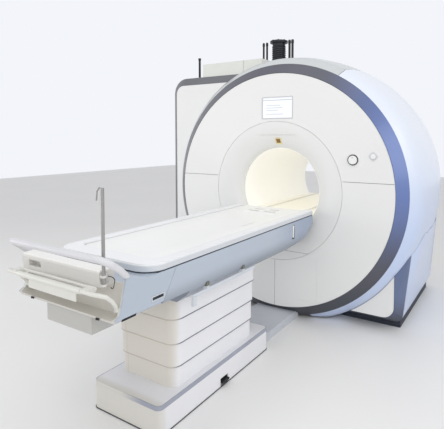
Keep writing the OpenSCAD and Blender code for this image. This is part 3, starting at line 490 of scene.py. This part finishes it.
# Painted shade: a dark sheet behind the slats stands for the shade inside the vent.
hollow_inset = 0.01
hollow_form = bmesh.new()
soft_block(
    hollow_form, (vent_x[0] + hollow_inset, vent_root, vent_z[0] + hollow_inset),
    (vent_x[1] - hollow_inset, tower_back + 0.0015, vent_z[1] - hollow_inset), 0.0004, segments=3,
)
settle(built("vent_hollow", hollow_form, hollow_shade), "gantry")
vent_slats = slat_tree().grow(
    "vent_slats", vent_grey, count=14, step=0.0165, width=vent_width - 0.03, depth=0.009,
    place=(sum(vent_x) / 2, tower_back + 0.006, vent_z[0] + 0.023),
)
settle(vent_slats, "gantry")

# Roof
# The shoulder over the tower, the turret cover, and the wrapped pipes that leave it.
# The helium vent ends in a welded flange with eight hexagon bolts on washers.


def bolt_tree():
    """Hexagon heads on washers, set evenly on a circle."""
    p = Pattern("bolts on a circle", count=8, ring=0.08, head=0.0075, tall=0.0055)
    hexagon = p.node("GeometryNodeMeshCylinder", Vertices=6, Radius=p.given["head"], Depth=p.given["tall"])
    washer = p.node("GeometryNodeMeshCylinder", Vertices=28, Radius=0.0095, Depth=0.0024)
    bolt = p.node("GeometryNodeJoinGeometry", Geometry=[p.raised(hexagon, 0.0035), washer])
    return p.close(p.node("GeometryNodeInstanceOnPoints", Points=p.ring(), Instance=bolt))


bolt_steel = Finish("bolt steel", linear(150, 152, 156), 0.35, 0.9).tone(30, 0.2).grain()
shoulder_white = Finish("shoulder cover", linear(222, 224, 217), 0.5).tone(1.5, 0.04).grain()
pipe_black = Finish("black pipe wrap", linear(28, 29, 32), 0.62).tone(18, 0.3).sheen(0.1).grain(400, 0.0003)
pipe_dark = Finish("dark steel pipe", linear(52, 54, 58), 0.42, 0.7).tone(12, 0.3)
pipe_dark.sheen(0.1).grain(400, 0.0002)
dress(shoulder_white, "shoulder_cover", "turret_cover")
dress(pipe_dark, "quench_pipe", "quench_flange")
dress(pipe_black, "service_lines")
flange_low, flange_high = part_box("quench_flange")
flange_bolts = bolt_tree().grow(
    "flange_bolts", bolt_steel, ring=0.076, turn=(0.0, 0.0, math.radians(22.5)),
    place=((flange_low.x + flange_high.x) / 2, (flange_low.y + flange_high.y) / 2, flange_high.z),
)
settle(flange_bolts, "gantry")

# Screen and controls
# A bright flat screen in a pale frame, with a few plain grey lines on it, and an amber laser window.
# The jog knob turns in a dark bezel inside a white collar with ticks; the push button has a diamond plate.


def tick_tree():
    """Small bars set round a knob, each pointing at its middle."""
    p = Pattern("ticks", count=24, ring=0.047, long=0.005)
    tick = p.bar(p.given["long"], 0.0012, 0.0008)
    spot = p.node("GeometryNodeInputPosition")
    outward = p.node("FunctionNodeAlignRotationToVector", {"axis": "X"}, Vector=spot)
    return p.close(
        p.node("GeometryNodeInstanceOnPoints", Points=p.ring(), Instance=tick, Rotation=outward)
    )


def turned(form, profile, centre, axis, steps):
    """Adds a closed profile of (radius, height) points, turned round an axis, to a bmesh."""
    swing = Vector((0, 0, 1)).rotation_difference(Vector(axis)).to_matrix()
    angles = [2 * math.pi * k / steps for k in range(steps)]
    loft(form, [
        [Vector(centre) + swing @ Vector((r * math.cos(a), r * math.sin(a), h)) for r, h in profile]
        for a in angles
    ])


def middle(name):
    """The middle of a node's box."""
    low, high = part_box(name)
    return (low + high) / 2


screen_frame = Finish("screen frame", linear(206, 209, 212), 0.3).tone(4, 0.03).grain()
screen_glass = Finish("lit screen", linear(238, 240, 243), 0.16).tone(3, 0.02)
screen_middle = middle("display_glass")
header = screen_glass.band("Z", screen_middle.z + 0.060, screen_middle.z + 0.066, 0.0005)
screen_glass.recolour(linear(170, 176, 188), header)
line_start = -0.100
line_half = 0.0035
for line_z, line_end in ((0.020, 0.03), (0.000, 0.05), (-0.020, 0.01), (-0.052, 0.06)):
    height = screen_middle.z + line_z
    line = screen_glass.band("Z", height - line_half, height + line_half, 0.0005)
    span = screen_glass.band("X", screen_middle.x + line_start, screen_middle.x + line_end, 0.001)
    screen_glass.recolour(linear(196, 201, 210), screen_glass.both(line, span))
left_edge = screen_glass.along("X", screen_middle.x - 0.128, screen_middle.x - 0.130)
screen_glass.recolour(linear(176, 180, 190), left_edge)
screen_glass.glow(linear(246, 249, 255), 0.12)
control_dark = Finish("dark bezel", linear(78, 82, 90), 0.35).tone(9, 0.1).grain()
control_white = Finish("white knob", linear(240, 240, 238), 0.28).tone(9, 0.04).grain(1200).coat(0.3)
tick_grey = Finish("tick grey", linear(136, 138, 142), 0.5).tone(60, 0.1).grain()
lens_amber = Finish("amber lens", linear(238, 224, 168), 0.12).tone(30, 0.1)
lens_middle = middle("laser_window")
brown_x = lens_amber.band("X", lens_middle.x - 0.022, lens_middle.x + 0.022, 0.006)
brown_z = lens_amber.band("Z", lens_middle.z - 0.021, lens_middle.z + 0.019, 0.006)
lens_amber.recolour(linear(134, 96, 34), lens_amber.both(brown_x, brown_z))
lens_amber.coat(0.8, 0.05)
dress(screen_frame, "display_housing")
dress(screen_glass, "display_glass")
dress(control_dark, "knob_bezel")
dress(control_white, "jog_knob", "push_button", "release_lever")
dress(lens_amber, "laser_window")
face_front = -face_depth
face_gap = 0.0002
knob_middle = middle("jog_knob")
knob_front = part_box("jog_knob")[0].y
collar_form = bmesh.new()
collar = [(0.0415, 0.0), (0.0415, 0.0022), (0.043, 0.003), (0.052, 0.003), (0.0545, 0.0)]
turned(collar_form, collar, (knob_middle.x, face_front + face_gap, knob_middle.z), (0, -1, 0), 48)
settle(built("knob_collar", collar_form, control_white), "gantry")
knob_ticks = tick_tree().grow(
    "knob_ticks", tick_grey, ring=0.0475, place=(knob_middle.x, face_front - 0.0030, knob_middle.z),
    turn=(math.radians(90), 0.0, 0.0),
)
settle(knob_ticks, "gantry")
mark_half = 0.0015
mark_z = (0.012, 0.025)
mark_form = bmesh.new()
soft_block(
    mark_form, (knob_middle.x - mark_half, knob_front - 0.0006, knob_middle.z + mark_z[0]),
    (knob_middle.x + mark_half, knob_front + 0.0004, knob_middle.z + mark_z[1]), 0.0004,
)
settle(built("knob_mark", mark_form, tick_grey), "jog_knob")
button_middle = middle("push_button")
plate_hole = 0.0212
plate_reach = 0.036
plate_tall = 0.0022
plate_corners = 1.25
plate_rows = []
for k in range(48):
    angle = 2 * math.pi * k / 48
    across, up = math.cos(angle), math.sin(angle)
    rim = plate_reach / (abs(across) ** plate_corners + abs(up) ** plate_corners) ** (1 / plate_corners)
    profile = ((plate_hole, face_gap), (plate_hole, plate_tall), (rim - 0.002, plate_tall), (rim, face_gap))
    plate_rows.append([
        (button_middle.x + r * across, face_front - h, button_middle.z + r * up) for r, h in profile
    ])
plate_form = bmesh.new()
loft(plate_form, plate_rows)
plate_grey = Finish("button plate", linear(214, 216, 220), 0.4).tone(20, 0.05).grain()
settle(built("button_plate", plate_form, plate_grey), "gantry")

# Plinth and pedestal
# Painted sheet steel: the plinth is bolted down on a dark gasket, and four sleeves telescope round the
# columns, with an upright joint at the foot end. Painted shade makes the end faces there darker and warmer.
# Each moving sleeve has a rubber trim along its lower edge, whose dark grey partly stands in for the shadow
# line under the edge; at the foot end the trims take the end faces' painted shade.


def edge_tree():
    """A rounded strip along a rounded rectangle."""
    p = Pattern("strip along an edge", width=1.0, length=1.0, corner=0.05, thick=0.002, tall=0.006)
    rectangle = "GeometryNodeCurvePrimitiveQuadrilateral"
    fillet = "GeometryNodeFilletCurve"
    outline = p.node(rectangle, Width=p.given["width"], Height=p.given["length"])
    outline = p.node(fillet, {"mode": "POLY"}, Curve=outline, Radius=p.given["corner"], Count=12)
    strip = p.node(rectangle, Width=p.given["thick"], Height=p.given["tall"])
    strip = p.node(fillet, {"mode": "POLY"}, Curve=strip, Radius=0.0007, Count=2)
    return p.close(p.node("GeometryNodeCurveToMesh", Curve=outline, Profile_Curve=strip))


plinth_end_y = (-2.36, -2.42)
trim_end_y = (-2.405, -2.420)
trim_end_x = (0.15, -0.05)
sleeve_end_y = (-2.215, -2.27)
joint_x = (-0.1410, -0.1390)
plinth_white = Finish("plinth paint", linear(233, 233, 236), 0.45).tone(2, 0.04).sheen().grain(600, 0.0001)
# Painted shade: the plinth's foot-end face is darker and warmer.
plinth_white.recolour(linear(214, 211, 204), plinth_white.along("Y", *plinth_end_y))
plinth_line = Finish("plinth trim", linear(162, 166, 180), 0.4, 0.1).tone(4, 0.08).grain()
trim_end = plinth_line.both(plinth_line.along("Y", *trim_end_y), plinth_line.along("X", *trim_end_x))
# Painted shade: the trim takes the same darker, warmer colour on the foot-end face.
plinth_line.recolour(linear(212, 209, 202), trim_end)
sleeve_white = Finish("sleeve paint", linear(236, 236, 239), 0.42).tone(2, 0.03).sheen().grain(600, 0.0001)
sleeve_end = sleeve_white.along("Y", *sleeve_end_y)
# Painted shade: the sleeves' foot-end faces are darker and warmer.
sleeve_white.recolour(linear(216, 211, 202), sleeve_end)
sheet_joint = sleeve_white.both(sleeve_white.band("X", *joint_x, 0.0005), sleeve_end)
sleeve_white.recolour(linear(176, 170, 160), sheet_joint)
column_steel = Finish("ground column steel", linear(196, 198, 202), 0.22, 1.0).tone(8, 0.1)
duct_grey = Finish("duct paint", linear(200, 203, 210), 0.5).tone(4, 0.06).grain()
# The trims' dark grey is partly the seals' own colour and partly painted shade for the shadow line under
# each edge.
rubber = Finish("grey rubber", linear(122, 124, 138), 0.7).tone(30, 0.15)
# Painted shade: on the foot-end face the trims take the face's darker, warmer colour.
rubber.recolour(linear(196, 190, 180), rubber.along("Y", *sleeve_end_y))
rubber.grain(900, 0.0001)
gasket_dark = Finish("floor gasket", linear(70, 72, 76), 0.8).tone(30, 0.2).grain(900, 0.0001)
dress(plinth_white, "plinth")
dress(plinth_line, "plinth_trim")
dress(sleeve_white, "sleeve_1", "sleeve_2", "sleeve_3", "sleeve_4")
dress(column_steel, "column_tubes", "column_stages", "column_rams")
dress(duct_grey, "floor_duct")
dress(pipe_black, "foot_pedal")
along_edges = edge_tree()


def edging(name, node, finish, corner, thick, tall, rise, out):
    """Grows a strip round a node's lower edge, from the node's own box."""
    low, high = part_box(node)
    return along_edges.grow(
        name, finish, width=high.x - low.x + 2 * out - thick, length=high.y - low.y + 2 * out - thick,
        corner=corner, thick=thick, tall=tall,
        place=((low.x + high.x) / 2, (low.y + high.y) / 2, low.z + rise),
    )


for name, node, body, corner in (
    ("trim_2", "sleeve_2", "sleeve_2", 0.060),
    ("trim_3", "sleeve_3", "sleeve_3", 0.064),
    ("trim_4", "sleeve_4", "table", 0.068),
):
    trim = edging(name, node, rubber, corner, thick=0.0045, tall=0.0062, rise=0.0019, out=0.001)
    settle(trim, body)
gasket = edging(
    "plinth_gasket", "plinth", gasket_dark, 0.035, thick=0.004, tall=0.005, rise=0.0026, out=0.003
)
settle(gasket, "gantry")

# Table
# Grey-blue moulded side covers, a dark joint line, a pale rim and the white sliding top. The covers meet
# at a slanted seam, with a small latch near it; coils plug into the sockets of the top.
head_shade_y = (-1.5, -0.9)
belly_shade_z = (0.80, 0.69)
recess_x = (-0.3335, 0.3335)
recess_y = (-2.700, -2.707)
table_blue = Finish("grey blue cover", linear(182, 191, 204), 0.4).tone(1.6, 0.03).sheen(0.05)
table_blue.recolour(linear(156, 168, 188), table_blue.along("Y", *head_shade_y))
table_blue.recolour(linear(140, 148, 160), table_blue.along("Z", *belly_shade_z))
table_blue.grain().coat(0.2, 0.2)
end_blue = Finish("end cover", linear(180, 190, 203), 0.4).tone(1.6, 0.03).sheen(0.05).grain()
end_blue.coat(0.15, 0.2)
recess = end_blue.both(end_blue.band("X", *recess_x, 0.001), end_blue.along("Y", *recess_y))
end_blue.recolour(linear(206, 203, 195), recess)
line_dark = Finish("dark joint strip", linear(58, 64, 76), 0.6).tone(9, 0.1).grain()
rim_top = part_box("table_rim")[1].z
rim_white = Finish("rim", linear(208, 212, 217), 0.36).tone(2, 0.02).sheen().grain().coat(0.2, 0.2)
# Painted highlight: the rim's upper part is lighter, where light falls from above.
rim_white.recolour(linear(238, 239, 240), rim_white.along("Z", rim_top - 0.014, rim_top - 0.004))
top_white = Finish("sliding top", linear(243, 243, 241), 0.42).tone(2, 0.015).sheen().grain(500, 0.00008)
# The sockets' near-black is partly their own dark plastic and partly painted shade for the depth of the
# holes.
socket_grey = Finish("socket grey", linear(40, 42, 47), 0.5).tone(20, 0.1).grain()
dress(table_blue, "table_cover")
dress(end_blue, "end_cover")
dress(line_dark, "seam_strip")
dress(rim_white, "table_rim")
dress(top_white, "tabletop")
top_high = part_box("tabletop")[1].z
socket_room = 0.002
socket_form = bmesh.new()
for low_x, high_x, low_y, high_y, deep in (
    (-0.122, -0.018, -0.986, -0.964, 0.014), (0.018, 0.122, -0.986, -0.964, 0.014),
    (-0.112, -0.028, -0.900, -0.878, 0.008), (0.028, 0.112, -0.900, -0.878, 0.008),
):
    soft_block(
        socket_form, (low_x + socket_room, low_y + socket_room, top_high - deep - 0.0005),
        (high_x - socket_room, high_y - socket_room, top_high - 0.003), 0.0012,
    )
slot_x = (0.1745, 0.1815)
slot_y = (-1.5645, -1.3905)
soft_block(
    socket_form, (slot_x[0], slot_y[0], top_high - 0.0118), (slot_x[1], slot_y[1], top_high - 0.0060), 0.0006
)
settle(built("coil_sockets", socket_form, socket_grey), "tabletop")
side_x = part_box("end_cover")[1].x
latch_root = side_x - 0.0026
latch_y = -2.5275
latch_z = 0.765
latch_centre = Vector((latch_root, latch_y, latch_z))
latch_form = bmesh.new()
border(
    latch_form, lambda a, b, out: latch_centre + Vector((out, a, b)), 0.0838, 0.0248,
    band=0.0055, tall=0.005, edge=0.001,
)
settle(built("latch_frame", latch_form, rim_white), "table")
paddle_form = bmesh.new()
soft_block(
    paddle_form, (latch_root, latch_y - 0.0355, latch_z - 0.0067),
    (side_x + 0.0012, latch_y + 0.0355, latch_z + 0.0067), 0.001,
)
soft_block(
    paddle_form, (side_x - 0.0010, latch_y + 0.0055, latch_z - 0.0040),
    (side_x + 0.0040, latch_y + 0.0155, latch_z + 0.0040), 0.001,
)
settle(built("latch_paddle", paddle_form, kick_dark), "table")
notch_y = (-2.7405, -2.6595)
notch_z = (0.7235, 0.7355)
# Painted shade: dark liners in the notches of the end cover stand for the shade inside them.
notch_form = bmesh.new()
for low_x, high_x in ((side_x - 0.0065, side_x - 0.0040), (-side_x + 0.0040, -side_x + 0.0065)):
    soft_block(notch_form, (low_x, notch_y[0], notch_z[0]), (high_x, notch_y[1], notch_z[1]), 0.0008)
settle(built("notch_liners", notch_form, hollow_shade), "table")

# Foot end
# The cable box, its tray, the bent bumper bar, the transport handle, the drip pole and the side rail.
# The handle's front bar has a grip sleeve, and a wire hook hangs beside the pole.
# Two small catches sit in the lip of the end cover.


def wire_form(name, points, radius, finish):
    """A round bar bent through points, with closed ends."""
    curve = bpy.data.curves.new(name, "CURVE")
    curve.dimensions = "3D"
    curve.bevel_depth = radius
    curve.bevel_resolution = 3
    curve.resolution_u = 8
    curve.use_fill_caps = True
    spline = curve.splines.new("BEZIER")
    spline.bezier_points.add(len(points) - 1)
    for knot, point in zip(spline.bezier_points, points):
        knot.co = point
        knot.handle_left_type = "AUTO"
        knot.handle_right_type = "AUTO"
    bent = bpy.data.objects.new(name, curve)
    bpy.context.scene.collection.objects.link(bent)
    mesh = plain_mesh(bent)
    bpy.data.objects.remove(bent)
    form = bmesh.new()
    form.from_mesh(mesh)
    for face in form.faces:
        face.smooth = True
    return built(name, form, finish)


box_top_highlight_z = (0.929, 0.937)
rail_clamps_z = (0.706, 0.709)
box_white = Finish("cable box", linear(218, 216, 211), 0.4).tone(3, 0.04).grain()
# Painted highlight: the box's top is lighter than its sides.
box_white.recolour(linear(244, 243, 239), box_white.along("Z", *box_top_highlight_z))
tray_grey = Finish("tray paint", linear(190, 189, 185), 0.5).tone(4, 0.05).grain()
bumper_grey = Finish("bumper sleeve", linear(216, 216, 219), 0.4).tone(5, 0.04).grain()
handle_cream = Finish("handle lacquer", linear(222, 221, 214), 0.35).tone(6, 0.05).grain()
pole_steel = Finish("pole steel", linear(168, 166, 164), 0.3, 0.7).tone(20, 0.1)
rail_steel = Finish("rail steel", linear(216, 220, 227), 0.35, 0.2).tone(10, 0.06)
rail_steel.recolour(linear(112, 113, 100), rail_steel.along("Z", *rail_clamps_z))
rail_steel.grain(600, 0.00005, 0.001)
hook_dark = Finish("dark wire", linear(60, 58, 58), 0.4, 0.6).tone(40, 0.2).grain()
dress(box_white, "end_box")
dress(tray_grey, "lower_box")
dress(bumper_grey, "bumper_bar")
dress(handle_cream, "transport_handle")
dress(pole_steel, "drip_pole")
dress(rail_steel, "accessory_rail")
handle_bar = (0.0, -2.85, 0.864)
grip_end = [(0.0125, 0.218), (0.0118, 0.221), (0.0092, 0.222)]
grip = [(r, -h) for r, h in reversed(grip_end)] + grip_end
grip_form = bmesh.new()
turned(grip_form, grip, handle_bar, (1, 0, 0), 32)
settle(built("grip_sleeve", grip_form, handle_cream), "transport_handle")
hook_y = -2.746
hook = [(x, hook_y, z) for x, z in (
    (0.262, 0.905), (0.292, 0.905), (0.303, 0.897), (0.300, 0.880), (0.294, 0.862), (0.286, 0.857),
    (0.279, 0.862),
)]
settle(wire_form("side_hook", hook, 0.0017, hook_dark), "table")
lip_y = -2.7785
toggle_form = bmesh.new()
for x in (-0.225, 0.235):
    soft_block(toggle_form, (x - 0.010, lip_y - 0.006, 0.7245), (x + 0.010, lip_y, 0.7325), 0.001)
    soft_block(toggle_form, (x - 0.003, lip_y - 0.010, 0.7255), (x + 0.003, lip_y, 0.7315), 0.001)
settle(built("lip_toggles", toggle_form, hook_dark), "table")

# Studio
# A pale floor that keeps the object's shadow, and a pale backdrop that only the camera, gloss and glass see.
# Four soft lamps light the object from above, from the front and from both sides.
floor_mesh = bpy.data.meshes.new("floor")
floor_form = bmesh.new()
bmesh.ops.create_grid(floor_form, x_segments=1, y_segments=1, size=14)
floor_form.to_mesh(floor_mesh)
floor_form.free()
floor = bpy.data.objects.new("floor", floor_mesh)
floor.location.z = -0.0005
bpy.context.scene.collection.objects.link(floor)
floor_tone = Finish("pale floor", linear(240, 239, 237), 0.5).tone(0.6, 0.02)
floor_mesh.materials.append(floor_tone.material)

world = bpy.data.worlds.new("studio")
world.use_nodes = True
bpy.context.scene.world = world
surround = world.node_tree
background = surround.nodes["Background"]
background.inputs["Color"].default_value = linear(246, 247, 250)
background.inputs["Strength"].default_value = 0.7
backdrop = surround.nodes.new("ShaderNodeBackground")
backdrop.inputs["Color"].default_value = linear(243, 245, 250)
backdrop.inputs["Strength"].default_value = 1.0
seen = surround.nodes.new("ShaderNodeLightPath")
shows = seen.outputs["Is Camera Ray"]
for ray in ("Is Glossy Ray", "Is Transmission Ray"):
    either = surround.nodes.new("ShaderNodeMath")
    either.operation = "MAXIMUM"
    surround.links.new(shows, either.inputs[0])
    surround.links.new(seen.outputs[ray], either.inputs[1])
    shows = either.outputs["Value"]
choose = surround.nodes.new("ShaderNodeMixShader")
surround.links.new(shows, choose.inputs["Fac"])
surround.links.new(background.outputs["Background"], choose.inputs[1])
surround.links.new(backdrop.outputs["Background"], choose.inputs[2])
surround.links.new(choose.outputs["Shader"], surround.nodes["World Output"].inputs["Surface"])

for name, place, target, size, power in (
    ("ceiling", (0.3, -2.5, 4.6), (0, -1, 0), (4, 4), 36),
    ("front", (2.5, -5.5, 2.4), (0, -1, 0.8), (3, 2.5), 42),
    ("right", (5.0, -1.6, 3.0), (0.6, 0, 1.0), (3, 3), 54),
    ("left", (-3.8, -4.6, 1.3), (-0.4, -0.75, 0.5), (3, 2), 40),
):
    panel = bpy.data.lights.new(name, "AREA")
    panel.shape = "RECTANGLE"
    panel.size = size[0]
    panel.size_y = size[1]
    panel.energy = power
    lamp = bpy.data.objects.new(name, panel)
    lamp.location = place
    lamp.rotation_euler = (Vector(target) - Vector(place)).to_track_quat("-Z", "Y").to_euler()
    bpy.context.scene.collection.objects.link(lamp)
bpy.context.scene.view_settings.view_transform = "Standard"
